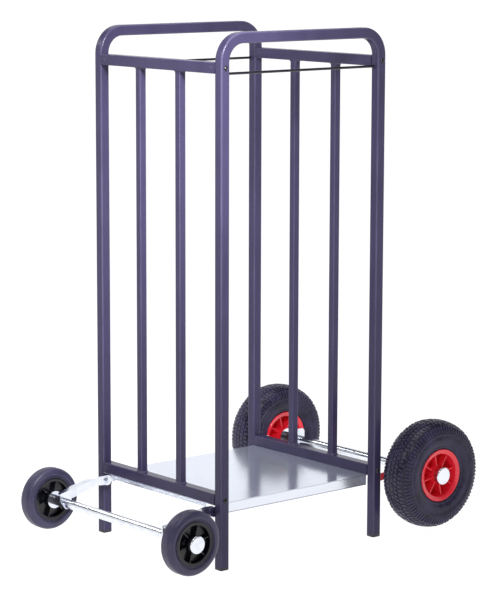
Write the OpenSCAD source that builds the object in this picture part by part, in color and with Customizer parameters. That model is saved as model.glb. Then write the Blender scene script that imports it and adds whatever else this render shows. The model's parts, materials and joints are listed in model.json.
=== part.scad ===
// Four-legged hand truck with slatted ends, a sheet tray, two fixed air-tyred
// wheels and a swinging bracket with two small support wheels.
// Millimetres, Z up, X towards the large wheels, Y across the truck.

/* [Frame] */

// Overall height from the feet to the top of the handles
frame_h = 1210; // [900:5:1400]

// Leg centre to leg centre, front to back
frame_depth = 469; // [350:1:600]

// Leg centre to leg centre, across
frame_w = 441; // [350:1:600]

// Outside width of the square frame tube
tube = 25; // [18:0.5:40]

// Wall of the frame tube
tube_wall = 2; // [1:0.1:3]

// Outside corner radius of the frame tube
tube_corner = 5; // [2:0.5:8]

// Centreline radius of the handle bends
bend_r = 52.5; // [35:0.5:80]

// Height of the plastic foot below the tube
foot_h = 7; // [3:0.5:15]

/* [Slatted ends] */

// Height of the top rails' centre line
rail_top_z = 1132; // [900:1:1180]

// Height of the bottom rails' centre line
rail_bot_z = 162; // [120:1:260]

// Outside width of the square rails
rail = 25; // [18:0.5:35]

// Wall of the rails
rail_wall = 1.5; // [1:0.1:2.5]

// Outside width of the square slats
bar = 18; // [12:0.5:22]

// Distance of each slat from the middle of its end frame
bar_y = 72.5; // [50:0.5:110]

/* [Rods and bolts] */

// Diameter of the two thin rods below the handles
rod_d = 6; // [4:0.5:10]

// Height of the thin rods
rod_z = 1119.5; // [1060:0.5:1125]

// Height of the screws above the thin rods
handle_screw_z = 1153; // [1125:1:1170]

// Diameter of the frame bolts' domed heads
bolt_head_d = 12; // [8:0.5:16]

/* [Tray] */

// Sheet thickness
sheet = 1.5; // [0.8:0.1:3]

// Depth of the tray's side flanges
side_flange = 24.5; // [15:0.5:40]

// Depth of the tray's lips under the rails
end_lip = 10; // [6:0.5:20]

/* [Support bracket] */

// Distance of the bracket pivot ahead of the front legs' centre line
pivot_fwd = 12; // [8:0.5:25]

// Height of the bracket pivot
pivot_z = 133; // [100:1:160]

// Distance of the small axle ahead of the pivot
small_axle_fwd = 117.5; // [90:0.5:150]

// Drop of the small axle below the pivot
small_axle_drop = 39; // [20:0.5:60]

// Distance of the arms' inner faces from the middle
arm_y = 193; // [150:1:200]

// Diameter of the cross tubes around both axles
cross_tube_d = 22; // [16:0.5:30]

/* [Small wheels] */

// Diameter of the small wheels
small_d = 147; // [120:1:200]

// Width of the small tyres
small_w = 38; // [25:1:50]

// Distance of the small wheels' middle planes from the middle
small_y = 268; // [250:1:300]

/* [Large wheels] */

// Diameter of the large wheels
big_d = 260; // [200:1:320]

// Width of the large tyres
big_w = 85; // [60:1:100]

// Distance of the large wheels' middle planes from the middle
big_y = 282; // [270:1:310]

// Distance of the large axle behind the rear legs' centre line
big_axle_back = 126; // [110:1:180]

// Height of the large axle
big_axle_z = 147; // [135:1:180]

// Diameter of the large axle
big_axle_d = 16; // [12:0.5:20]

// Number of ribs in each large rim
big_ribs = 8; // [6:1:12]

// Number of ribs in each small rim
small_ribs = 6; // [4:1:10]

/* [Hidden] */

$fn = 64;

// The middle of the legs sits this far behind the middle of the whole truck.
legs_x = -26.5;
front_x = legs_x - frame_depth / 2;
rear_x = legs_x + frame_depth / 2;
leg_y = frame_w / 2;
half = tube / 2;
straight_z = frame_h - half - bend_r;
inner_y = leg_y - half;
rail_len = 2 * inner_y;
rail_under = rail_bot_z - rail / 2;
bar_z0 = rail_bot_z + rail / 2;
bar_z1 = rail_top_z - rail / 2;

pivot_x = front_x - pivot_fwd;
small_x = pivot_x - small_axle_fwd;
small_z = pivot_z - small_axle_drop;
small_axle_d = 12;
big_x = rear_x + big_axle_back;
big_z = big_axle_z;
plate = 3;
arm_out = arm_y + plate;
gap = 0.5;
fit = 0.05;

powder = [0.22, 0.22, 0.28];
zinc = [0.78, 0.80, 0.84];
galv = [0.80, 0.83, 0.87];
black = [0.08, 0.08, 0.09];
rubber = [0.13, 0.13, 0.14];
red = [0.80, 0.10, 0.10];

// ---- helpers ----

// Solid rounded square, centred.
module rsq(a, r) {
  square([a - 2 * r, a], center = true);
  square([a, a - 2 * r], center = true);
  for (x = [-1, 1])
    for (y = [-1, 1])
      translate([x * (a / 2 - r), y * (a / 2 - r)]) circle(r);
}

// Square tube section, centred.
module tube2d(a, w, r) {
  difference() {
    rsq(a, r);
    rsq(a - 2 * w, max(r - w, 0.3));
  }
}

// Cylinder along +Y from y0 to y1.
module ycyl(r, y0, y1) {
  translate([0, y0, 0]) rotate([-90, 0, 0]) cylinder(r = r, h = y1 - y0);
}

// Ring along +Y from y0 to y1.
module yring(ro, ri, y0, y1) {
  difference() {
    ycyl(ro, y0, y1);
    ycyl(ri, y0 - 1, y1 + 1);
  }
}

// Revolve a profile of [radius, distance along +Y] about the Y axis.
module yturn() {
  rotate([-90, 0, 0]) rotate_extrude() children();
}

// Children are drawn for +Y, or mirrored for -Y.
module side(s) {
  if (s > 0) children();
  else mirror([0, 1, 0]) children();
}

// Low dome of radius r and height h on the XY plane, facing +Z.
module dome(r, h) {
  rr = (r * r + h * h) / (2 * h);
  rotate_extrude()
    intersection() {
      translate([0, h - rr]) circle(rr, $fn = 128);
      square([r, h]);
    }
}

// ---- frame ----

module handle_bend() {
  rotate([90, 0, 0])
    rotate_extrude(angle = 90)
      translate([bend_r, 0]) tube2d(tube, tube_wall, tube_corner);
}

// puts a child on the inside of one handle bend, facing into the hoop (end 1 front, -1 rear)
module in_bend(s, end) {
  tilt = asin((handle_screw_z - straight_z) / (bend_r - half));
  translate([end > 0 ? front_x + bend_r : rear_x - bend_r, s * leg_y, straight_z])
    rotate([0, end * (90 + tilt), 0])
      translate([0, 0, half - bend_r]) children();
}

module side_frame(s) {
  difference() {
    translate([0, s * leg_y, 0]) {
      for (x = [front_x, rear_x])
        translate([x, 0, foot_h])
          linear_extrude(straight_z - foot_h) tube2d(tube, tube_wall, tube_corner);
      translate([front_x + bend_r, 0, frame_h - half])
        rotate([0, 90, 0])
          linear_extrude(frame_depth - 2 * bend_r) tube2d(tube, tube_wall, tube_corner);
      translate([rear_x - bend_r, 0, straight_z]) handle_bend();
      translate([front_x + bend_r, 0, straight_z]) mirror([1, 0, 0]) handle_bend();
    }
    // holes for the frame bolts
    for (x = [front_x, rear_x])
      for (z = [rail_top_z, rail_bot_z])
        translate([x, 0, z]) side(s) ycyl(4, inner_y - 1, leg_y + half + 1);
    // holes for the thin rod and the screws above it
    for (x = [front_x + half, rear_x - half])
      translate([x - 5, s * leg_y, rod_z]) rotate([0, 90, 0]) cylinder(d = rod_d, h = 10);
    for (end = [-1, 1])
      in_bend(s, end) translate([0, 0, -5]) cylinder(d = 4, h = 10);
  }
}

module side_frame_near() { color(powder) side_frame(-1); }
module side_frame_far() { color(powder) side_frame(1); }

module foot_plugs() {
  plug = tube - 2 * tube_wall;
  color(black)
    for (x = [front_x, rear_x])
      for (s = [-1, 1])
        translate([x, s * leg_y, 0]) {
          linear_extrude(1.2) rsq(tube - 2.4, tube_corner - 1.2);
          translate([0, 0, 1.2]) linear_extrude(foot_h - 1.2) rsq(tube, tube_corner);
          translate([0, 0, foot_h]) linear_extrude(18) rsq(plug, tube_corner - tube_wall);
        }
}

module rail_bar(x, z) {
  difference() {
    translate([x, -inner_y, z])
      rotate([-90, 0, 0])
        linear_extrude(rail_len) tube2d(rail, rail_wall, 1.8);
    for (y = [-1, 1])
      translate([x - rail / 2 - 1, y * (inner_y - 13), z])
        rotate([0, 90, 0]) cylinder(d = 4, h = 5);
  }
}

module front_top_rail() { color(powder) rail_bar(front_x, rail_top_z); }
module front_bottom_rail() { color(powder) rail_bar(front_x, rail_bot_z); }
module rear_top_rail() { color(powder) rail_bar(rear_x, rail_top_z); }
module rear_bottom_rail() { color(powder) rail_bar(rear_x, rail_bot_z); }

module slats(x) {
  for (y = [-bar_y, bar_y])
    translate([x, y, bar_z0])
      linear_extrude(bar_z1 - bar_z0) tube2d(bar, 1.2, 3);
}

module front_bars() { color(powder) slats(front_x); }
module rear_bars() { color(powder) slats(rear_x); }

module weld_collar() {
  difference() {
    union() {
      linear_extrude(1) rsq(bar + 4, 4);
      translate([0, 0, 1]) linear_extrude(1) rsq(bar + 2, 3.5);
    }
    translate([0, 0, -1]) linear_extrude(4) rsq(bar, 3);
  }
}

module welds(x) {
  for (y = [-bar_y, bar_y]) {
    translate([x, y, bar_z0]) weld_collar();
    translate([x, y, bar_z1]) mirror([0, 0, 1]) weld_collar();
  }
}

module front_welds() { color(powder) welds(front_x); }
module rear_welds() { color(powder) welds(rear_x); }

// Threaded blocks closing the rail ends.
module rail_inserts() {
  a = rail - 2 * rail_wall;
  color(zinc)
    for (x = [front_x, rear_x])
      for (z = [rail_top_z, rail_bot_z])
        for (s = [-1, 1])
          side(s)
            difference() {
              translate([x - a / 2, inner_y - 24, z - a / 2]) cube([a, 24, a]);
              translate([x, 0, z]) ycyl(4, inner_y - 20, inner_y + 1);
              translate([x - a / 2 - 1, inner_y - 13, z])
                rotate([0, 90, 0]) cylinder(d = 4, h = 6);
            }
}

module rail_screws() {
  color(powder)
    for (x = [front_x, rear_x])
      for (z = [rail_top_z, rail_bot_z])
        for (s = [-1, 1])
          translate([x - rail / 2, s * (inner_y - 13), z]) {
            rotate([0, -90, 0]) dome(3.4, 1.4);
            rotate([0, 90, 0]) cylinder(d = 4, h = 5);
          }
}

// Domed bolts through the legs into the rail ends.
module frame_bolts() {
  color(powder)
    for (x = [front_x, rear_x])
      for (z = [rail_top_z, rail_bot_z])
        for (s = [-1, 1])
          side(s)
            translate([x, 0, z]) {
              ycyl(4, inner_y - 18, leg_y + half);
              difference() {
                translate([0, leg_y + half, 0])
                  rotate([-90, 0, 0]) dome(bolt_head_d / 2, 3.6);
                translate([0, leg_y + half + 1.6, 0])
                  rotate([-90, 0, 0]) cylinder(r = 2.3, h = 5, $fn = 6);
              }
            }
}

module cross_rods() {
  color(powder)
    for (s = [-1, 1])
      translate([front_x + half - 4, s * leg_y, rod_z])
        rotate([0, 90, 0]) cylinder(d = rod_d, h = frame_depth - tube + 8);
}

module rod_nuts() {
  color(powder)
    for (s = [-1, 1]) {
      for (x = [front_x + half, rear_x - half - 3.5])
        translate([x, s * leg_y, rod_z])
          rotate([0, 90, 0])
            difference() {
              cylinder(r = 5.6, h = 3.5, $fn = 6);
              translate([0, 0, -1]) cylinder(d = rod_d, h = 6);
            }
    }
}

module handle_screws() {
  color(powder)
    for (s = [-1, 1])
      for (end = [-1, 1])
        in_bend(s, end) {
          translate([0, 0, 0.25]) dome(4.2, 2);
          translate([0, 0, -4.5]) cylinder(d = 4, h = 5);
        }
}

// ---- tray ----

module tray() {
  x0 = front_x - half;
  x1 = rear_x + half;
  ty = inner_y - 0.5;
  lip_y = 178;
  color(galv)
    difference() {
      union() {
        translate([x0, -ty, rail_under - sheet]) cube([x1 - x0, 2 * ty, sheet]);
        for (x = [x0, x1 - sheet])
          translate([x, -lip_y, rail_under - end_lip]) cube([sheet, 2 * lip_y, end_lip]);
        for (y = [-ty, ty - sheet])
          translate([front_x + half + 1, y, rail_under - side_flange])
            cube([frame_depth - tube - 2, sheet, side_flange]);
      }
      for (x = [front_x, rear_x])
        for (y = [-150, 0, 150])
          translate([x, y, rail_under - 5]) cylinder(d = 5, h = 10);
    }
}

module tray_screws() {
  color(zinc)
    for (x = [front_x, rear_x])
      for (y = [-150, 0, 150])
        translate([x, y, rail_under - sheet]) {
          mirror([0, 0, 1]) dome(5, 2.2);
          cylinder(d = 5, h = sheet);
        }
}

// ---- support bracket ----

// Plain bearings welded to the inside of the front legs.
module pivot_bosses() {
  color(powder)
    for (s = [-1, 1])
      side(s)
        translate([pivot_x, 0, pivot_z])
          difference() {
            union() {
              ycyl(11.5, arm_out + 0.4, inner_y);
              translate([0, arm_out + 0.4, -11]) cube([15, inner_y - arm_out - 0.4, 20]);
            }
            ycyl(4 + fit, arm_out - 1, inner_y + 1);
          }
}

// Side view of a bracket arm, x forwards of the pivot as a negative number.
module arm_profile() {
  ax = -small_axle_fwd;
  az = -small_axle_drop;
  circle(12);
  translate([ax, az]) circle(13);
  polygon([[ax - 21, az + 26], [ax - 20.5, az + 6], [ax - 12, az - 5], [ax + 12, az - 5],
           [ax + 11, az + 11], [-30, -8.5], [-6, -10.5], [0, 0], [0, 12], [-18, 12]]);
}

module bracket_arm(s) {
  side(s)
    translate([pivot_x, 0, pivot_z])
      difference() {
        union() {
          translate([0, arm_out, 0]) rotate([90, 0, 0]) linear_extrude(plate) arm_profile();
          // stiffening flange along the upper edge
          translate([-small_axle_fwd - 21, arm_out, -small_axle_drop + 26])
            rotate([0, -atan2(25, 120.5), 0])
              translate([0, 0, -plate])
                linear_extrude(plate)
                  polygon([[1, -0.5], [1, 8], [4, 10], [46, 18], [92, 18], [104, -0.5]]);
        }
        ycyl(4, arm_y - 1, arm_out + 1);
        translate([-small_axle_fwd, 0, -small_axle_drop])
          ycyl(small_axle_d / 2, arm_y - 1, arm_out + 1);
      }
}

module bracket_arm_near() { color(zinc) bracket_arm(-1); }
module bracket_arm_far() { color(zinc) bracket_arm(1); }

module cross_tube() {
  color(zinc)
    translate([small_x, 0, small_z])
      yring(cross_tube_d / 2, small_axle_d / 2, -arm_y, arm_y);
}

module front_axle() {
  color(zinc)
    translate([small_x, 0, small_z])
      ycyl(small_axle_d / 2, -(small_y + 22), small_y + 22);
}

module pivot_bolts() {
  color(zinc)
    for (s = [-1, 1])
      side(s)
        translate([pivot_x, 0, pivot_z]) {
          translate([0, arm_y - 7, 0])
            rotate([-90, 0, 0]) cylinder(r = 7.5, h = 5.5, $fn = 6);
          ycyl(4, arm_y - 1.5, inner_y - 2);
        }
}

module pivot_washers() {
  color(zinc)
    for (s = [-1, 1])
      side(s)
        translate([pivot_x, 0, pivot_z]) yring(9, 4, arm_y - 1.5, arm_y);
}

module front_spacers() {
  color(black)
    for (s = [-1, 1])
      side(s)
        translate([small_x, 0, small_z])
          yring(11.5, small_axle_d / 2, arm_out, small_y - 24 - gap);
}

module front_clips() {
  color(zinc)
    for (s = [-1, 1])
      side(s)
        translate([small_x, 0, small_z])
          yring(9, small_axle_d / 2, small_y + 20, small_y + 21.5);
}

// ---- small wheels, drawn about their own centre with +Y outboard ----

module small_tyre_shape() {
  r = small_d / 2;
  w = small_w / 2;
  yturn()
    polygon([[51, -w + 1], [62, -w], [67, -w + 0.6], [r - 2.2, -w + 4], [r, -w + 9],
             [r, w - 9], [r - 2.2, w - 4], [67, w - 0.6], [62, w], [51, w - 1]]);
}

module small_rim_shape() {
  difference() {
    union() {
      yturn()
        polygon([[43, -17], [49, -18], [51, -17], [51, 17], [49, 18], [43, 17],
                 [41, 3], [20, 3], [18, 19], [9, 19], [9, -21], [18, -21],
                 [20, -3], [41, -3]]);
      for (i = [0 : small_ribs - 1])
        rotate([0, i * 360 / small_ribs - 14, 0])
          translate([17, -14, -1.4]) cube([26, 28, 2.8]);
    }
    ycyl(9, -30, 30);
  }
}

module small_bush_shape() { yring(9, small_axle_d / 2 + fit, -21, 19); }

module small_cap_shape() {
  difference() {
    yturn()
      polygon([[0, 19], [20.5, 19], [20.5, 25.5], [18.5, 27.5], [8, 28.4], [0, 28.4]]);
    ycyl(13, 18, 24.5);
  }
}

module small_washer_shape() { yring(20.5, small_axle_d / 2 + 0.3, -24, -21); }

module small_at(s) {
  side(s) translate([small_x, small_y, small_z]) children();
}

module small_tyre_near() { color(rubber) small_at(-1) small_tyre_shape(); }
module small_rim_near() { color(black) small_at(-1) small_rim_shape(); }
module small_bush_near() { color(zinc) small_at(-1) small_bush_shape(); }
module small_cap_near() { color(zinc) small_at(-1) small_cap_shape(); }
module small_washer_near() { color(zinc) small_at(-1) small_washer_shape(); }
module small_tyre_far() { color(rubber) small_at(1) small_tyre_shape(); }
module small_rim_far() { color(black) small_at(1) small_rim_shape(); }
module small_bush_far() { color(zinc) small_at(1) small_bush_shape(); }
module small_cap_far() { color(zinc) small_at(1) small_cap_shape(); }
module small_washer_far() { color(zinc) small_at(1) small_washer_shape(); }

// ---- rear axle ----

module rear_arm(s) {
  x0 = rear_x + half - big_x;
  z0 = rail_under - big_z;
  side(s)
    translate([big_x, 0, big_z])
      difference() {
        union() {
          translate([0, arm_out, 0])
            rotate([90, 0, 0])
              linear_extrude(plate) {
                // low arm with an upright ear around the axle
                polygon([[x0, -27], [x0, z0 + 23], [x0 + 10, z0 + 23], [x0 + 22, -6], [-40, -1],
                         [-24, 3], [-18, 11], [-18, 22], [-12, 28], [12, 28], [18, 22],
                         [18, -8], [10, -16], [-10, -16]]);
              }
          // mounting flange on the back of the rail
          translate([x0, arm_y - 40, z0 + 2]) cube([plate, 41, 21]);
        }
        ycyl(big_axle_d / 2, arm_y - 1, arm_out + 1);
        for (y = [12, 30])
          translate([x0 - 1, arm_y - y, rail_bot_z - big_z])
            rotate([0, 90, 0]) cylinder(d = 6, h = 6);
      }
}

module rear_arm_near() { color(zinc) rear_arm(-1); }
module rear_arm_far() { color(zinc) rear_arm(1); }

module rear_arm_bolts() {
  color(zinc)
    for (s = [-1, 1])
      side(s)
        for (y = [12, 30])
          translate([rear_x + half, arm_y - y, rail_bot_z]) {
            rotate([0, 90, 0]) cylinder(d = 6, h = plate);
            translate([plate, 0, 0]) rotate([0, 90, 0]) cylinder(r = 5.8, h = 4, $fn = 6);
          }
}

module rear_cross_tube() {
  color(zinc)
    translate([big_x, 0, big_z])
      yring(cross_tube_d / 2, big_axle_d / 2, -arm_y, arm_y);
}

module rear_axle() {
  color(zinc)
    translate([big_x, 0, big_z]) ycyl(big_axle_d / 2, -(big_y + 38), big_y + 38);
}

module rear_spacers() {
  color(black)
    for (s = [-1, 1])
      side(s)
        translate([big_x, 0, big_z])
          yring(12, big_axle_d / 2, arm_out, big_y - 42 - gap);
}

module rear_clips() {
  color(zinc)
    for (s = [-1, 1])
      side(s)
        translate([big_x, 0, big_z])
          yring(11.5, big_axle_d / 2, big_y + 35, big_y + 36.5);
}

// ---- large wheels, drawn about their own centre with +Y outboard ----

// Half of the tyre's outer outline from the bead to the crown.
tyre_out = [[56, 33.8], [63.2, 34.2], [66, 37.4], [74, 40.8], [86, 42.5], [100, 42.5], [110, 41],
            [117, 38.4], [121.8, 34.5], [125.8, 27], [128.8, 15], [130, 5]];
tyre_in = [[57, 28], [64, 31.5], [75, 35], [86, 36.5], [98, 36.5], [108, 34.6],
           [116, 29], [120, 21], [122, 11], [122.4, 4]];

function flip(p) = [for (i = [len(p) - 1 : -1 : 0]) [p[i][0], -p[i][1]]];
function back(p) = [for (i = [len(p) - 1 : -1 : 0]) p[i]];

module big_tyre_shape() {
  k = big_d / 260;
  w = big_w / 85;
  pts = concat(tyre_out, flip(tyre_out), [for (p = back(flip(tyre_in))) p], back(tyre_in));
  yturn() polygon([for (p = pts) [56 + (p[0] - 56) * (big_d / 2 - 56) / 74, p[1] * w]]);
}

module big_rim_shape() {
  difference() {
    union() {
      yturn()
        polygon([[52, -34], [62, -37.5], [63, -36], [63, -34.5], [56, -34], [56, -28],
                 [54, -20], [54, 20], [56, 28], [56, 34], [63, 34.5], [63, 36],
                 [62, 37.5], [52, 34], [49, 3], [22, 3], [20, 34], [12, 34],
                 [12, -41], [20, -41], [22, -3], [49, -3]]);
      for (i = [0 : big_ribs - 1])
        rotate([0, i * 360 / big_ribs - 12, 0])
          translate([19, -28, -1.5]) cube([32, 56, 3]);
    }
    ycyl(12, -50, 50);
    valve_stem(2.8);
  }
}

module big_bush_shape() { yring(12, big_axle_d / 2 + fit, -41, 34); }

module big_cap_shape() {
  difference() {
    yturn()
      polygon([[0, 34], [21, 34], [21, 45], [19.4, 46.8], [8, 47.5], [0, 47.5]]);
    ycyl(14.5, 33, 44);
  }
}

module big_washer_shape() { yring(21, big_axle_d / 2 + 0.3, -42, -41); }

// Slanting stem through the barrel of the rim, on the inboard side.
module valve_stem(r) {
  rotate([0, 55.5, 0])
    translate([55.5, -16, 0])
      rotate([0, 0, -140]) rotate([0, 90, 0]) cylinder(r = r, h = 24);
}

module big_valve_shape() {
  difference() {
    valve_stem(2.8);
    rotate([0, 55.5, 0])
      translate([55.5, -16, 0])
        rotate([0, 0, -140]) translate([20, 0, 0]) rotate([0, 90, 0]) cylinder(r = 1.6, h = 5);
  }
}

module big_at(s) {
  side(s) translate([big_x, big_y, big_z]) children();
}

module big_tyre_near() { color(rubber) big_at(-1) big_tyre_shape(); }
module big_rim_near() { color(red) big_at(-1) big_rim_shape(); }
module big_bush_near() { color(zinc) big_at(-1) big_bush_shape(); }
module big_cap_near() { color(zinc) big_at(-1) big_cap_shape(); }
module big_washer_near() { color(zinc) big_at(-1) big_washer_shape(); }
module big_valve_near() { color(rubber) big_at(-1) big_valve_shape(); }
module big_tyre_far() { color(rubber) big_at(1) big_tyre_shape(); }
module big_rim_far() { color(red) big_at(1) big_rim_shape(); }
module big_bush_far() { color(zinc) big_at(1) big_bush_shape(); }
module big_cap_far() { color(zinc) big_at(1) big_cap_shape(); }
module big_washer_far() { color(zinc) big_at(1) big_washer_shape(); }
module big_valve_far() { color(rubber) big_at(1) big_valve_shape(); }

side_frame_near();
side_frame_far();
foot_plugs();
front_top_rail();
front_bottom_rail();
rear_top_rail();
rear_bottom_rail();
front_bars();
rear_bars();
front_welds();
rear_welds();
rail_inserts();
rail_screws();
frame_bolts();
cross_rods();
rod_nuts();
handle_screws();
tray();
tray_screws();
pivot_bosses();
rear_arm_near();
rear_arm_far();
rear_arm_bolts();
rear_cross_tube();
rear_axle();
rear_spacers();
rear_clips();
bracket_arm_near();
bracket_arm_far();
cross_tube();
front_axle();
pivot_bolts();
pivot_washers();
front_spacers();
front_clips();
small_tyre_near();
small_rim_near();
small_bush_near();
small_cap_near();
small_washer_near();
small_tyre_far();
small_rim_far();
small_bush_far();
small_cap_far();
small_washer_far();
big_tyre_near();
big_rim_near();
big_bush_near();
big_cap_near();
big_washer_near();
big_valve_near();
big_tyre_far();
big_rim_far();
big_bush_far();
big_cap_far();
big_washer_far();
big_valve_far();
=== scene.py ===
import json
import math

import bmesh
import bpy
from mathutils import Matrix, Vector


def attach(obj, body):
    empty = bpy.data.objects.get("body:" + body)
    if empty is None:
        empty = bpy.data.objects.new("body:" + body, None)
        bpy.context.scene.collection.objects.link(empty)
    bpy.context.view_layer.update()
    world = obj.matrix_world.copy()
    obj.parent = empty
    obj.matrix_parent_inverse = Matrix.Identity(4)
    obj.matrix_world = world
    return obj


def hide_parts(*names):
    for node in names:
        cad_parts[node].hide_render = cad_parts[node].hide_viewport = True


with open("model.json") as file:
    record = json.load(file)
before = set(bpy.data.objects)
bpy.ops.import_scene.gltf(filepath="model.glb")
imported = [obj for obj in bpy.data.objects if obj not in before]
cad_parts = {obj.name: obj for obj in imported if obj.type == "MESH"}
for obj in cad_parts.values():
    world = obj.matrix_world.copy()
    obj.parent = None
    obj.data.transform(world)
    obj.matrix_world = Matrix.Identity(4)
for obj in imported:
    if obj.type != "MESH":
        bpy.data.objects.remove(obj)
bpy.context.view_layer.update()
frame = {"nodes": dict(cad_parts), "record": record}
N = frame["nodes"]

MM = 0.001


# ---------------------------------------------------------------- places, from the frame
def cad_span(node):
    """Lowest and highest corner of a CAD node, to 0.1 mm."""
    corners = [N[node].matrix_world @ Vector(c) for c in N[node].bound_box]
    return [tuple(round(pick(c[i] for c in corners), 4) for i in range(3)) for pick in (min, max)]


def middle(node, axis):
    lo, hi = cad_span(node)
    return round((lo[axis] + hi[axis]) / 2, 4)


def width(node, axis):
    lo, hi = cad_span(node)
    return round(hi[axis] - lo[axis], 4)


X, Y, Z = 0, 1, 2
joint_at = {j["name"]: j["pos_m"] for j in frame["record"]["behaviour"]["joints"]}
BIG_C = joint_at["big_wheel_far_spin"]
SMALL_C = joint_at["small_wheel_far_spin"]
FRONT_X, REAR_X = middle("front_top_rail", X), middle("rear_top_rail", X)
RAIL_TOP, RAIL_BOT = middle("front_top_rail", Z), middle("front_bottom_rail", Z)
TUBE = width("front_top_rail", Z)
BAR = width("front_bars", X)
BAR_Y = round((width("front_bars", Y) - BAR) / 2, 4)

# heights of the painted shade lines along the tray flanges' cut edge and bend
TRAY_EDGE = cad_span("tray")[0][Z] + 0.5 * MM
TRAY_BEND = cad_span("tray")[1][Z] - 1.3 * MM


# ---------------------------------------------------------------- materials
class Mat:
    """A small builder for node materials."""

    def __init__(self, name):
        self.m = bpy.data.materials.new(name)
        self.m.use_nodes = True
        self.t = self.m.node_tree
        self.b = self.t.nodes["Principled BSDF"]
        co = self.t.nodes.new("ShaderNodeTexCoord")
        self.co = co.outputs["Object"]

    def node(self, kind, **inputs):
        n = self.t.nodes.new(kind)
        for k, v in inputs.items():
            key = k.replace("_", " ")
            if hasattr(v, "is_output"):
                self.t.links.new(v, n.inputs[key])
            else:
                n.inputs[key].default_value = v
        return n

    def link(self, a, b):
        self.t.links.new(a, b)

    def mapped(self, scale):
        n = self.t.nodes.new("ShaderNodeMapping")
        n.inputs["Scale"].default_value = scale
        self.link(self.co, n.inputs["Vector"])
        return n.outputs["Vector"]

    def noise(self, scale, detail=3.0, rough=0.55, vec=None, distort=0.0):
        n = self.node("ShaderNodeTexNoise", Scale=scale, Detail=detail, Roughness=rough,
                      Distortion=distort)
        self.link(vec or self.co, n.inputs["Vector"])
        return n.outputs["Fac"]

    def ramp(self, fac, stops):
        n = self.t.nodes.new("ShaderNodeValToRGB")
        cr = n.color_ramp
        while len(cr.elements) < len(stops):
            cr.elements.new(0.5)
        for e, (p, c) in zip(cr.elements, stops):
            e.position = p
            e.color = (*c, 1.0)
        self.link(fac, n.inputs["Fac"])
        return n.outputs["Color"]

    def span(self, fac, a, b, lo, hi):
        """Maps a..b to lo..hi."""
        n = self.t.nodes.new("ShaderNodeMapRange")
        n.inputs["From Min"].default_value = a
        n.inputs["From Max"].default_value = b
        n.inputs["To Min"].default_value = lo
        n.inputs["To Max"].default_value = hi
        self.link(fac, n.inputs["Value"])
        return n.outputs["Result"]

    def mix(self, fac, a, b):
        n = self.t.nodes.new("ShaderNodeMix")
        n.data_type = "RGBA"
        for v, s in ((fac, n.inputs["Factor"]), (a, n.inputs[6]), (b, n.inputs[7])):
            if hasattr(v, "is_output"):
                self.link(v, s)
            else:
                s.default_value = v if isinstance(v, float) else (*v, 1.0)
        return n.outputs[2]

    def math(self, op, a, b=0.0):
        n = self.t.nodes.new("ShaderNodeMath")
        n.operation = op
        for v, s in ((a, n.inputs[0]), (b, n.inputs[1])):
            if hasattr(v, "is_output"):
                self.link(v, s)
            else:
                s.default_value = v
        return n.outputs[0]

    def bump(self, height, strength, distance, normal=None):
        n = self.node("ShaderNodeBump", Strength=strength, Distance=distance)
        self.link(height, n.inputs["Height"])
        if normal is not None:
            self.link(normal, n.inputs["Normal"])
        return n.outputs["Normal"]

    def pointiness(self):
        return self.t.nodes.new("ShaderNodeNewGeometry").outputs["Pointiness"]

    def finish(self, color, rough, normal, metallic=0.0, **extra):
        self.link(color, self.b.inputs["Base Color"])
        self.link(rough, self.b.inputs["Roughness"])
        self.link(normal, self.b.inputs["Normal"])
        self.b.inputs["Metallic"].default_value = metallic
        for k, v in extra.items():
            self.b.inputs[k.replace("_", " ")].default_value = v
        return self.m


def powder_coat(name, across):
    """Powder coat with a painted highlight: the rounded corners are paler. across is the normal's
    part along the axis that is square to one pair of flat faces."""
    m = Mat(name)
    broad = m.noise(9.0, 2.0)
    streak = m.noise(26.0, 4.0, 0.65, vec=m.mapped((1.0, 1.0, 0.25)))
    grain = m.noise(950.0, 2.0, 0.6)
    speck = m.noise(2600.0, 1.0, 0.5)
    col = m.ramp(broad, [(0.3, (0.036, 0.030, 0.072)), (0.7, (0.044, 0.037, 0.087))])
    col = m.mix(m.span(streak, 0.35, 0.65, 0.0, 0.3), col, (0.056, 0.049, 0.104))
    geo = m.t.nodes.new("ShaderNodeNewGeometry")
    parts = m.node("ShaderNodeSeparateXYZ")
    m.link(geo.outputs["Normal"], parts.inputs["Vector"])
    a = m.math("ABSOLUTE", parts.outputs[across])
    b = m.math("SQRT", m.math("SUBTRACT", 1.0, m.math("MULTIPLY", a, a)))
    corner = m.math("MULTIPLY", a, b)
    # painted highlight: a mask on the rounded corners, broken up by the streak noise
    corner_highlight = m.math("MULTIPLY", m.span(corner, 0.25, 0.5, 0.0, 0.55),
                  m.span(streak, 0.35, 0.6, 0.5, 1.0))
    # painted highlight: the corners are mixed towards this paler tone
    col = m.mix(corner_highlight, col, (0.120, 0.110, 0.185))
    rough = m.math("ADD", m.span(grain, 0.3, 0.7, 0.17, 0.25),
                   m.span(streak, 0.3, 0.7, -0.03, 0.04))
    nrm = m.bump(grain, 0.16, 0.0004)
    nrm = m.bump(speck, 0.10, 0.0002, nrm)
    return m.finish(col, rough, nrm, Specular_IOR_Level=0.20)


def zinc_plate():
    m = Mat("zinc_plate")
    cloud = m.noise(45.0, 4.0, 0.6, distort=0.4)
    fine = m.noise(700.0, 2.0)
    streak = m.noise(60.0, 3.0, 0.6, vec=m.mapped((2.0, 26.0, 26.0)))
    col = m.ramp(cloud, [(0.25, (0.66, 0.70, 0.81)), (0.5, (0.82, 0.85, 0.92)),
                         (0.8, (0.92, 0.93, 0.96))])
    rough = m.math("ADD", m.span(cloud, 0.3, 0.7, 0.11, 0.19),
                   m.span(streak, 0.3, 0.7, -0.02, 0.03))
    nrm = m.bump(fine, 0.06, 0.0003)
    nrm = m.bump(streak, 0.05, 0.0004, nrm)
    return m.finish(col, rough, nrm, 1.0)


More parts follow.
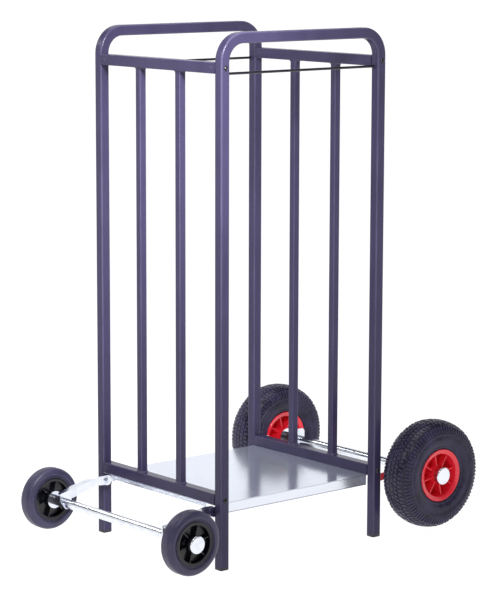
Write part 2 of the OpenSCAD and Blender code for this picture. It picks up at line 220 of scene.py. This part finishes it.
def galvanised():
    m = Mat("galvanised_sheet")
    spangle = m.node("ShaderNodeTexVoronoi", Scale=75.0, Randomness=1.0)
    spangle.feature = "F1"
    m.link(m.co, spangle.inputs["Vector"])
    tone = m.node("ShaderNodeSeparateColor")
    m.link(spangle.outputs["Color"], tone.inputs["Color"])
    lines = m.noise(14.0, 5.0, 0.7, vec=m.mapped((60.0, 1.2, 60.0)))
    hair = m.noise(60.0, 3.0, 0.7, vec=m.mapped((50.0, 1.0, 50.0)))
    broad = m.noise(5.0, 3.0)
    base = m.ramp(tone.outputs["Red"], [(0.0, (0.74, 0.80, 0.95)), (1.0, (0.79, 0.84, 0.97))])
    col = m.mix(m.span(lines, 0.35, 0.65, 0.0, 0.5), base, (0.86, 0.88, 0.95))
    # painted shade: upright flanges a little greyer, and darker lines along the bend and the cut
    # edge that stand in for the shading of the rolled edge
    geo = m.t.nodes.new("ShaderNodeNewGeometry")
    up = m.node("ShaderNodeSeparateXYZ")
    m.link(geo.outputs["Normal"], up.inputs["Vector"])
    upright = m.span(m.math("ABSOLUTE", up.outputs["Z"]), 0.3, 0.7, 1.0, 0.0)
    at = m.node("ShaderNodeSeparateXYZ")
    m.link(m.co, at.inputs["Vector"])
    from_cut = m.math("ABSOLUTE", m.math("SUBTRACT", at.outputs["Z"], TRAY_EDGE))
    cut = m.span(from_cut, 0.0006, 0.0022, 1.0, 0.0)
    from_bend = m.math("ABSOLUTE", m.math("SUBTRACT", at.outputs["Z"], TRAY_BEND))
    bend = m.span(from_bend, 0.0002, 0.0014, 0.7, 0.0)
    # painted shade: upright faces are mixed towards a greyer tone
    col = m.mix(m.math("MULTIPLY", upright, 0.8), col, (0.82, 0.85, 0.92))
    painted_line_shade = m.math("MULTIPLY", upright, m.math("MAXIMUM", cut, bend))
    # painted shade: the lines along the bend and the cut edge are mixed towards this dark tone
    col = m.mix(painted_line_shade, col, (0.30, 0.32, 0.40))
    rough = m.math("ADD", m.span(lines, 0.3, 0.7, 0.11, 0.19),
                   m.span(broad, 0.3, 0.7, -0.01, 0.03))
    nrm = m.bump(hair, 0.07, 0.0004)
    nrm = m.bump(m.noise(5.0, 2.0), 0.07, 0.001, nrm)
    return m.finish(col, rough, nrm, 0.78)


def solid_rubber():
    m = Mat("solid_rubber")
    broad = m.noise(30.0, 3.0)
    grain = m.noise(1100.0, 3.0)
    col = m.ramp(broad, [(0.3, (0.034, 0.030, 0.072)), (0.7, (0.050, 0.044, 0.098))])
    rough = m.math("ADD", m.span(grain, 0.3, 0.7, 0.32, 0.44),
                   m.span(broad, 0.3, 0.7, -0.03, 0.04))
    nrm = m.bump(grain, 0.12, 0.0003)
    return m.finish(col, rough, nrm, Specular_IOR_Level=0.45)


def air_tyre(name, lo, hi, edge_highlight_tone, r0, r1, level):
    """Blotchy rubber between tones lo and hi, of roughness r0 to r1, with a painted highlight that
    makes convex edges paler.
    """
    m = Mat(name)
    broad = m.noise(22.0, 4.0)
    blotch = m.noise(110.0, 4.0, 0.65, distort=0.5)
    grain = m.noise(800.0, 3.0)
    both = m.math("ADD", m.math("MULTIPLY", broad, 0.5), m.math("MULTIPLY", blotch, 0.5))
    col = m.ramp(both, [(0.38, lo), (0.62, hi)])
    # painted highlight: pointiness marks the convex edges, which are mixed towards
    # edge_highlight_tone
    edge = m.span(m.pointiness(), 0.52, 0.62, 0.0, 1.0)
    col = m.mix(m.math("MULTIPLY", edge, 0.45), col, edge_highlight_tone)
    rough = m.math("ADD", m.span(blotch, 0.35, 0.65, r0, r1),
                   m.span(broad, 0.3, 0.7, -0.05, 0.05))
    nrm = m.bump(grain, 0.2, 0.0004)
    nrm = m.bump(blotch, 0.35, 0.0009, nrm)
    return m.finish(col, rough, nrm, Specular_IOR_Level=level)


def plastic(name, lo, hi, r0, r1, **extra):
    """Moulded plastic between tones lo and hi, of roughness r0 to r1."""
    m = Mat(name)
    broad = m.noise(25.0, 3.0)
    grain = m.noise(900.0, 2.0)
    flow = m.noise(40.0, 3.0, 0.6, vec=m.mapped((1.0, 4.0, 1.0)), distort=0.6)
    col = m.ramp(broad, [(0.3, lo), (0.7, hi)])
    rough = m.math("ADD", m.span(grain, 0.3, 0.7, r0, r1),
                   m.span(flow, 0.3, 0.7, -0.03, 0.04))
    nrm = m.bump(grain, 0.08, 0.0003)
    nrm = m.bump(flow, 0.05, 0.0006, nrm)
    return m.finish(col, rough, nrm, **extra)


MATS = {
    "powder_coat": powder_coat("powder_coat", "Y"),
    "powder_coat_rail": powder_coat("powder_coat_rail", "Z"),
    "zinc_plate": zinc_plate(),
    "galvanised_sheet": galvanised(),
    "solid_rubber": solid_rubber(),
    "air_tyre": air_tyre("air_tyre", (0.004, 0.003, 0.014), (0.038, 0.031, 0.084),
                         (0.09, 0.08, 0.15), 0.32, 0.52, 0.32),
    # painted shade: the tread is a darker copy of the tyre rubber; its lower roughness and higher
    # specular are the tread's own
    "tyre_tread_painted_shade": air_tyre("tyre_tread_painted_shade", (0.003, 0.003, 0.009), (0.022, 0.018, 0.050),
                           (0.08, 0.07, 0.14), 0.20, 0.44, 0.36),
    "black_plastic": plastic("black_plastic", (0.018, 0.018, 0.026), (0.028, 0.027, 0.038),
                             0.36, 0.48),
    "black_rim": plastic("black_rim", (0.002, 0.002, 0.005), (0.005, 0.005, 0.010), 0.16, 0.24),
    "red_rim": plastic("red_rim", (0.80, 0.018, 0.036), (0.92, 0.028, 0.054), 0.18, 0.28,
                       Coat_Weight=0.25),
}


# ---------------------------------------------------------------- mesh helpers
def make(name, verts, faces, mat, body, node, sharp=32, merge=False):
    """A piece that rides body and replaces node. Edges over sharp degrees stay sharp, and
    merge closes the poles of an outline that runs to the axis."""
    me = bpy.data.meshes.new(name)
    me.from_pydata([tuple(v) for v in verts], [], faces)
    me.validate()
    me.update()
    ob = bpy.data.objects.new(name, me)
    bpy.context.scene.collection.objects.link(ob)
    me.materials.append(MATS[mat])
    for p in me.polygons:
        p.use_smooth = True
    bm = bmesh.new()
    bm.from_mesh(me)
    if merge:
        bmesh.ops.remove_doubles(bm, verts=bm.verts, dist=1e-6)
        bmesh.ops.dissolve_degenerate(bm, edges=bm.edges, dist=1e-7)
    bmesh.ops.recalc_face_normals(bm, faces=bm.faces)
    bm.to_mesh(me)
    bm.free()
    me.set_sharp_from_angle(angle=math.radians(sharp))
    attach(ob, body)
    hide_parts(node)
    return ob


def at_wheel(verts, centre, side):
    """Moves verts from a wheel's own frame (+Y outboard) to the row frame."""
    s = -1 if side == "near" else 1
    m = (Matrix.Translation((centre[0], s * centre[1], centre[2]))
         @ Matrix.Scale(s, 4, (0, 1, 0)))
    return [m @ Vector(v) for v in verts]


def metres(points):
    return [(r * MM, y * MM) for r, y in points]


def mirrored(half):
    """Half an outline that ends on the middle plane, and its mirror image."""
    return half + [(r, -y) for r, y in reversed(half[:-1])]


def revolve(profile, steps, closed=True):
    """Turns [radius, y] points about Y. Returns verts and faces."""
    n = len(profile)
    verts, faces = [], []
    for i in range(steps):
        a = 2 * math.pi * i / steps
        for r, y in profile:
            verts.append((r * math.cos(a), y, r * math.sin(a)))
    m = n if closed else n - 1
    for i in range(steps):
        j = (i + 1) % steps
        for k in range(m):
            after = (k + 1) % n
            faces.append((i * n + k, i * n + after, j * n + after, j * n + k))
    return verts, faces


def round_profile(points, radii, seg=4):
    """Rounds the corners of a closed [radius, y] outline."""
    out = []
    n = len(points)
    for i, radius in enumerate(radii):
        a, b, c = Vector(points[i - 1]), Vector(points[i]), Vector(points[(i + 1) % n])
        u, v = (a - b), (c - b)
        lu, lv = u.length, v.length
        u, v = u / lu, v / lv
        ang = math.acos(max(-1, min(1, u.dot(v))))
        d = min(radius / math.tan(ang / 2), 0.45 * lu, 0.45 * lv)
        p0, p1 = b + u * d, b + v * d
        for k in range(seg + 1):
            t = k / seg
            q = (p0 * (1 - t) + b * t) * (1 - t) + (b * (1 - t) + p1 * t) * t
            out.append(tuple(q))
    return out


def join(parts):
    """Joins (verts, faces) lists."""
    verts, faces = [], []
    for v, f in parts:
        k = len(verts)
        verts += [tuple(p) for p in v]
        faces += [tuple(i + k for i in g) for g in f]
    return verts, faces


def loft(rings, n):
    """Faces between rings of n points each."""
    return [(k * n + i, k * n + (i + 1) % n, (k + 1) * n + (i + 1) % n, (k + 1) * n + i)
            for k in range(rings - 1) for i in range(n)]


# ---------------------------------------------------------------- CAD nodes that stay
# These look nearly black in the photo.
DARK_NODES = ("frame_bolts", "cross_rods")
slot_of = {e["node"]: e["material_slot"] for e in frame["record"]["subparts"]}


def look_of(name):
    if name in DARK_NODES:
        return MATS["black_rim"]
    return MATS["powder_coat_rail" if name.endswith("_rail") else slot_of[name]]


for name, ob in N.items():
    ob.data.materials.clear()
    ob.data.materials.append(look_of(name))


# ---------------------------------------------------------------- large tyres
# [radius, y] in mm, from the bead outward to the middle of the crown
BIG_SIDE = [(56, 33.4), (60, 33.5), (63.3, 33.9), (64.6, 35.4), (66.2, 37.2), (68.0, 38.0),
            (69.6, 38.0), (70.6, 37.5), (72.2, 37.9), (75, 40.2), (79, 41.2), (83, 41.8),
            (87, 42.1), (89.2, 42.1), (90.0, 41.6), (90.8, 42.0), (92.0, 42.0), (92.8, 41.4),
            (93.6, 41.8), (94.8, 41.7), (95.6, 41.2), (97.0, 42.0), (100.4, 42.0), (101.4, 40.8),
            (108, 39.6), (114.5, 36.8), (118.9, 34.0), (121.2, 31.6), (123.6, 27), (125.5, 21),
            (126.9, 14), (127.7, 7), (127.9, 0)]
BIG_INNER = [(57, 28), (64, 31.5), (75, 35), (86, 36.5), (98, 36.5), (108, 34.6), (116, 29),
             (120, 21), (122, 11), (122.4, 0)]
# the surface that the blocks' tops follow
BIG_CROWN = [(100, 42.5), (110, 41), (117, 38.4), (121.8, 34.5), (125.8, 27), (128.8, 15),
             (129.95, 5), (130, 0)]
TREAD_FROM = 118.5 * MM
TYRE_STEPS = 216
TREAD_STEPS = 78
SHOULDER_STEPS = 84
# rise above the crown, depth below it and chamfer of the blocks, in mm
BLOCK = (-0.15, 4.6, 0.7)
LUG = (-0.15, 4.8, 0.8)
SHORT_RIB = (-0.35, 2.4, 0.5)


def arc_table(points):
    """Arc length, from the crown's middle outward, against [radius, y]."""
    pts = list(reversed(points))
    t, out = 0.0, []
    for i, q in enumerate(pts):
        if i:
            t += math.dist(pts[i - 1], q)
        out.append((t, q))
    return out


def crown_at(table, t):
    """Point and outward normal on the tyre's outer outline, t in mm from the middle."""
    side = 1 if t >= 0 else -1
    u = min(abs(t), table[-1][0] - 1e-6)
    for (t0, a), (t1, b) in zip(table, table[1:]):
        if u <= t1:
            k = (u - t0) / (t1 - t0)
            r, y = a[0] + k * (b[0] - a[0]), a[1] + k * (b[1] - a[1])
            n = Vector((b[1] - a[1], a[0] - b[0])).normalized()
            return r, side * y, n[0], side * n[1]


def pad(table, size, poly):
    """One raised rubber block. poly is (angle in degrees, t in mm) round its outline."""
    rise, sink, chamfer = size
    n = len(poly)
    ca = sum(a for a, _ in poly) / n
    ct = sum(t for _, t in poly) / n
    rings = ((1.0, -sink), (1.0, rise - chamfer), (1.0 - chamfer / 4.0, rise))
    verts = []
    for shrink, lift in rings:
        for a, t in poly:
            aa = math.radians(ca + (a - ca) * shrink)
            r, y, nr, ny = crown_at(table, ct + (t - ct) * shrink)
            r, y = (r + nr * lift) * MM, (y + ny * lift) * MM
            verts.append((r * math.cos(aa), y, r * math.sin(aa)))
    faces = loft(len(rings), n)
    faces.append(tuple(range((len(rings) - 1) * n, len(rings) * n)))
    faces.append(tuple(reversed(range(n))))
    return verts, faces


def tread(table):
    """Zigzag blocks in the middle, slanted ones beside them and lugs on the shoulders."""
    parts = []
    step = 360.0 / TREAD_STEPS
    w = step * 0.36
    for i in range(TREAD_STEPS):
        odd = i % 2
        a = i * step
        d = 0.30 * step if odd else -0.30 * step
        parts.append(pad(table, BLOCK, [
            (a - w - d, -5.2), (a - w, 0), (a - w - d, 5.2),
            (a + w - d, 5.2), (a + w, 0), (a + w - d, -5.2)]))
        for s in (-1, 1):
            b = a + step * (0.5 + 0.12 * s)
            parts.append(pad(table, BLOCK, [
                (b - w - 0.9, s * 8.2), (b - w + 0.9, s * (15.6 + 1.6 * odd)),
                (b + w + 0.9, s * (16.6 + 1.0 * odd)), (b + w - 0.9, s * 7.4)]))
            c = a + step * 0.1 * s
            end = 33.0 if odd else 29.0
            parts.append(pad(table, LUG, [
                (c - w * 0.95, s * 20.2), (c - w * 0.8 + 0.7, s * end),
                (c + w * 0.5 + 0.7, s * end), (c + w * 0.9, s * 19.2)]))
    return parts


def short_ribs(table):
    """The rows of short radial ribs below the shoulders."""
    parts = []
    step = 360.0 / SHOULDER_STEPS
    for i in range(SHOULDER_STEPS):
        a = i * step + 1.1
        lo, hi = (38.5, 56.2) if i % 2 else (38.5, 53.8)
        for s in (-1, 1):
            parts.append(pad(table, SHORT_RIB, [
                (a - step * 0.26, s * lo), (a - step * 0.24, s * (lo + hi) / 2),
                (a - step * 0.22, s * hi), (a + step * 0.22, s * hi),
                (a + step * 0.24, s * (lo + hi) / 2), (a + step * 0.26, s * lo)]))
    return parts


def big_tyre(side, body, node):
    table = arc_table(BIG_CROWN)
    outline = mirrored(BIG_SIDE) + list(reversed(mirrored(BIG_INNER)))
    carcass = revolve(metres(outline), TYRE_STEPS)
    blocks = join(tread(table))
    verts, faces = join([carcass, blocks] + short_ribs(table))
    ob = make("tyre_" + node, at_wheel(verts, BIG_C, side), faces, "air_tyre", body, node)
    # the tread faces get the darker copy of the rubber, which is painted shade
    ob.data.materials.append(MATS["tyre_tread_painted_shade"])
    blocks_from = len(carcass[1])
    blocks_to = blocks_from + len(blocks[1])
    for f in ob.data.polygons:
        r = math.hypot(f.center[0] - BIG_C[0], f.center[2] - BIG_C[2])
        on_crown = f.index < blocks_from and r > TREAD_FROM
        if on_crown or blocks_from <= f.index < blocks_to:
            f.material_index = 1


# ---------------------------------------------------------------- small tyres
SMALL_SIDE = [(51.2, 17.6), (52.0, 17.8), (52.4, 17.4), (52.9, 15.6), (55.2, 15.6), (55.8, 17.6),
              (56.6, 18.5), (58.5, 18.9), (61.4, 18.95), (63.6, 18.6), (64.3, 18.0), (65.2, 17.9),
              (67.4, 17.3), (69.6, 15.8), (71.4, 13.7), (72.7, 11.4), (73.35, 9.2), (73.5, 7.4),
              (73.5, 0)]
SMALL_STEPS = 192


def small_tyre(side, body, node):
    verts, faces = revolve(metres(mirrored(SMALL_SIDE)), SMALL_STEPS)
    make("tyre_" + node, at_wheel(verts, SMALL_C, side), faces, "solid_rubber", body, node)


# ---------------------------------------------------------------- rims
RIM_STEPS = 160
CREST = 0.6


def rib(r0, r1, y0, y1, half_w, angle):
    """A flat rib from the hub (r0) to the flange (r1) with a rounded crest at y1."""
    ring = [(-half_w, y0), (half_w, y0), (half_w, y1 - CREST), (half_w * 0.55, y1),
            (-half_w * 0.55, y1), (-half_w, y1 - CREST)]
    ca, sa = math.cos(angle), math.sin(angle)
    verts = [((r * ca - x * sa) * MM, y * MM, (r * sa + x * ca) * MM)
             for r in (r0, r1) for x, y in ring]
    n = len(ring)
    return verts, loft(2, n) + [tuple(range(n)), tuple(range(2 * n - 1, n - 1, -1))]


def rim(side, body, node, centre, shape, mat):
    profile = round_profile(shape["outline"], shape["radii"])
    parts = [revolve(metres(profile), RIM_STEPS)]
    for i in range(shape["ribs"]):
        angle = math.radians(shape["phase"] + i * 360.0 / shape["ribs"])
        for y0, y1 in shape["rib_y"]:
            parts.append(rib(*shape["rib_r"], y0, y1, shape["rib_w"] / 2, angle))
    verts, faces = join(parts)
    make("rim_" + node, at_wheel(verts, centre, side), faces, mat, body, node)


# Closed [radius, y] outlines in mm, with a corner radius for each point. The ribs stand on
# both sides of the web.
BIG_RIM = {
    "outline": [(52, -34), (62, -37.5), (63, -36), (63, -34.5), (56, -34), (56, -28), (54, -20),
                (54, 20), (56, 28), (56, 34), (63, 34.5), (63, 36), (62, 37.5), (52, 34), (49, 3),
                (22, 3), (20, 34), (12, 34), (12, -41), (20, -41), (22, -3), (49, -3)],
    "radii": [1.2, 1.0, 0.6, 0.4, 0.3, 1, 1, 1, 1, 0.3, 0.4, 0.6, 1.0, 1.2, 2.0, 2.0, 1.0, 0.6,
              0.6, 1.0, 2.0, 2.0],
    "ribs": 8, "phase": 12, "rib_r": (19.5, 51.6), "rib_y": ((2.5, 28), (-28, -2.5)), "rib_w": 3.0,
}
SMALL_RIM = {
    "outline": [(43, -17), (49, -18), (51, -17), (51, 17), (49, 18), (43, 17), (41, 3), (20, 3),
                (18, 19), (9, 19), (9, -21), (18, -21), (20, -3), (41, -3)],
    "radii": [0.8, 0.8, 0.6, 0.6, 0.8, 0.8, 1.5, 1.5, 0.8, 0.5, 0.5, 0.8, 1.5, 1.5],
    "ribs": 6, "phase": 14, "rib_r": (17.5, 42.6), "rib_y": ((2.5, 14), (-14, -2.5)), "rib_w": 2.8,
}


# ---------------------------------------------------------------- caps
CAP_STEPS = 96
# [radius, y] in mm, from the open end to the middle of the face: outside, then inside
BIG_CAP = ([(14.5, 34), (20.7, 34), (21, 34.4), (21, 44.6), (20.8, 45.4), (20.2, 46.2),
            (19.2, 46.8), (15, 47.1), (11, 47.2), (10.0, 47.0), (9.0, 47.2), (5, 47.45),
            (0.0, 47.5)],
           [(14.5, 34), (14.5, 44), (0.0, 44)])
SMALL_CAP = ([(13, 19), (20.2, 19), (20.5, 19.4), (20.5, 24.9), (20.3, 25.9), (19.6, 26.9),
              (18.4, 27.5), (15, 27.9), (12.4, 28.1), (11.6, 27.85), (10.6, 28.15), (8, 28.3),
              (4, 28.4), (0.0, 28.4)],
             [(13, 19), (13, 24.5), (0.0, 24.5)])


def cap(side, body, node, centre, outlines):
    verts, faces = join([revolve(metres(o), CAP_STEPS, closed=False) for o in outlines])
    make("cap_" + node, at_wheel(verts, centre, side), faces, "zinc_plate", body, node,
         sharp=40, merge=True)


# ---------------------------------------------------------------- weld fillets
# how far the bead stands off the slat, and its height above the rail there, in mm
BEAD = ((3.3, 0.0), (2.9, 0.5), (1.7, 1.1), (0.9, 2.1), (0.4, 3.6), (0.1, 5.0), (-0.6, 5.2))
SLAT_CORNER = 3
RIPPLE = 0.10


def ring_outline(half, corner, seg=4):
    """A rounded square, from its centre."""
    pts = []
    for cx, cy, a0 in ((1, 1, 0), (-1, 1, 90), (-1, -1, 180), (1, -1, 270)):
        for k in range(seg + 1):
            a = math.radians(a0 + 90.0 * k / seg)
            pts.append((cx * (half - corner) + corner * math.cos(a),
                        cy * (half - corner) + corner * math.sin(a)))
    return pts


def fillet(x, y, z, up):
    """A concave, slightly rippled weld bead round a slat, growing away from the rail at z."""
    verts = []
    for j, (grow, h) in enumerate(BEAD):
        ring = ring_outline(BAR / 2 + grow * MM, (SLAT_CORNER + grow) * MM)
        rippled = 0 < j < len(BEAD) - 2
        for i, (px, py) in enumerate(ring):
            wave = 1 + RIPPLE * math.sin(i * 2.4 + x * 90 + y * 40 + z * 7) if rippled else 1.0
            g = (wave - 1) * grow * MM
            s = math.hypot(px, py)
            verts.append((x + px * (1 + g / s), y + py * (1 + g / s), z + up * h * MM))
    return verts, loft(len(BEAD), len(ring))


def welds(name, node, x):
    parts = []
    for y in (-BAR_Y, BAR_Y):
        parts.append(fillet(x, y, RAIL_BOT + TUBE / 2, 1))
        parts.append(fillet(x, y, RAIL_TOP - TUBE / 2, -1))
    verts, faces = join(parts)
    make(name, verts, faces, "powder_coat", "frame", node)


# ---------------------------------------------------------------- assembly
welds("welds_front", "front_welds", FRONT_X)
welds("welds_rear", "rear_welds", REAR_X)
for side in ("near", "far"):
    big_body, small_body = "big_wheel_" + side, "small_wheel_" + side
    big_tyre(side, big_body, "big_tyre_" + side)
    small_tyre(side, small_body, "small_tyre_" + side)
    rim(side, big_body, "big_rim_" + side, BIG_C, BIG_RIM, "red_rim")
    rim(side, small_body, "small_rim_" + side, SMALL_C, SMALL_RIM, "black_rim")
    cap(side, big_body, "big_cap_" + side, BIG_C, BIG_CAP)
    cap(side, small_body, "small_cap_" + side, SMALL_C, SMALL_CAP)


# ---------------------------------------------------------------- studio
# The sky's brightness along a tilted axis.
SKY_AXIS = (-0.256, -0.308, 1.0)
SKY_STOPS = ((0.0, 1.0), (0.24, 0.95), (0.32, 0.06), (0.50, 0.06), (0.75, 0.34), (1.0, 0.40))
SKY_TINT = (0.985, 0.99, 1.0)
FLOOR_REACH = 60
# name, place, target, size, watts, colour, spread in degrees
LIGHTS = (
    ("key_front", (-0.8, -1.3, 1.8), (-0.36, -0.2, 1.05), (0.45, 0.45), 6.5, (0.99, 0.98, 1.0), 50),
    ("side_left", (-1.7, 0.3, 1.7), (-0.25, 0, 0.9), (0.4, 1.2), 5, (1, 1, 1), 180),
    ("strip_front", (-2.6, -1.95, 0.8), (-0.25, -0.2, 0.6), (0.14, 1.3), 7, (1, 1, 1), 180),
    ("back_left", (-0.7, 2.4, 2.1), (-0.3, 0, 0.3), (1.6, 0.24), 7, (1, 1, 1), 180),
    ("top_soft", (0.1, 0.2, 2.9), (0, 0, 0.4), (1.8, 1.8), 22, (1, 1, 1), 180),
)


def sky():
    world = bpy.data.worlds.new("studio")
    bpy.context.scene.world = world
    world.use_nodes = True
    t = world.node_tree
    co = t.nodes.new("ShaderNodeTexCoord")
    tilt = t.nodes.new("ShaderNodeVectorMath")
    tilt.operation = "DOT_PRODUCT"
    t.links.new(co.outputs["Generated"], tilt.inputs[0])
    tilt.inputs[1].default_value = SKY_AXIS
    ramp = t.nodes.new("ShaderNodeValToRGB")
    stops = ramp.color_ramp.elements
    while len(stops) < len(SKY_STOPS):
        stops.new(0.5)
    for e, (at, v) in zip(stops, SKY_STOPS):
        e.position = at
        e.color = (*(v * tint for tint in SKY_TINT), 1.0)
    t.links.new(tilt.outputs["Value"], ramp.inputs["Fac"])
    t.links.new(ramp.outputs["Color"], t.nodes["Background"].inputs["Color"])
    t.nodes["Background"].inputs["Strength"].default_value = 1.0


def floor():
    m = bpy.data.materials.new("floor_white")
    m.use_nodes = True
    b = m.node_tree.nodes["Principled BSDF"]
    b.inputs["Base Color"].default_value = (0.24, 0.24, 0.245, 1)
    b.inputs["Roughness"].default_value = 0.8
    b.inputs["Specular IOR Level"].default_value = 0.1
    b.inputs["Emission Color"].default_value = (1, 1, 1, 1)
    b.inputs["Emission Strength"].default_value = 0.93
    me = bpy.data.meshes.new("floor")
    r = FLOOR_REACH
    me.from_pydata([(-r, -r, 0), (r, -r, 0), (r, r, 0), (-r, r, 0)], [], [(0, 1, 2, 3)])
    ob = bpy.data.objects.new("floor", me)
    bpy.context.scene.collection.objects.link(ob)
    me.materials.append(m)


def area(name, place, target, size, watts, colour, spread):
    d = bpy.data.lights.new(name, "AREA")
    d.shape = "RECTANGLE"
    d.size, d.size_y = size
    d.energy = watts
    d.color = colour
    d.spread = math.radians(spread)
    o = bpy.data.objects.new(name, d)
    bpy.context.scene.collection.objects.link(o)
    o.location = place
    aim = Vector(target) - Vector(place)
    o.rotation_euler = aim.to_track_quat("-Z", "Y").to_euler()


def studio():
    sky()
    floor()
    for light in LIGHTS:
        area(*light)
    bpy.context.scene.view_settings.view_transform = "Standard"
    bpy.context.scene.view_settings.look = "None"


# ---------------------------------------------------------------- camera
CAMERA_AT = (-3.5866, -4.2591, 1.4566)
YAW, PITCH, ROLL = 49.958, -9.104, 0.144
LENS = 142.95


def camera():
    yaw, pitch, roll = math.radians(YAW), math.radians(PITCH), math.radians(ROLL)
    look = Vector((math.cos(yaw) * math.cos(pitch), math.sin(yaw) * math.cos(pitch),
                   math.sin(pitch)))
    right = look.cross(Vector((0, 0, 1))).normalized()
    up = right.cross(look)
    r2 = math.cos(roll) * right + math.sin(roll) * up
    u2 = -math.sin(roll) * right + math.cos(roll) * up
    c = bpy.data.cameras.new("camera")
    c.sensor_width = 36.0
    c.sensor_fit = "AUTO"
    c.lens = LENS
    c.clip_end = 60
    o = bpy.data.objects.new("camera", c)
    bpy.context.scene.collection.objects.link(o)
    m = Matrix((r2, u2, -look)).transposed().to_4x4()
    m.translation = Vector(CAMERA_AT)
    o.matrix_world = m
    bpy.context.scene.camera = o


studio()
camera()
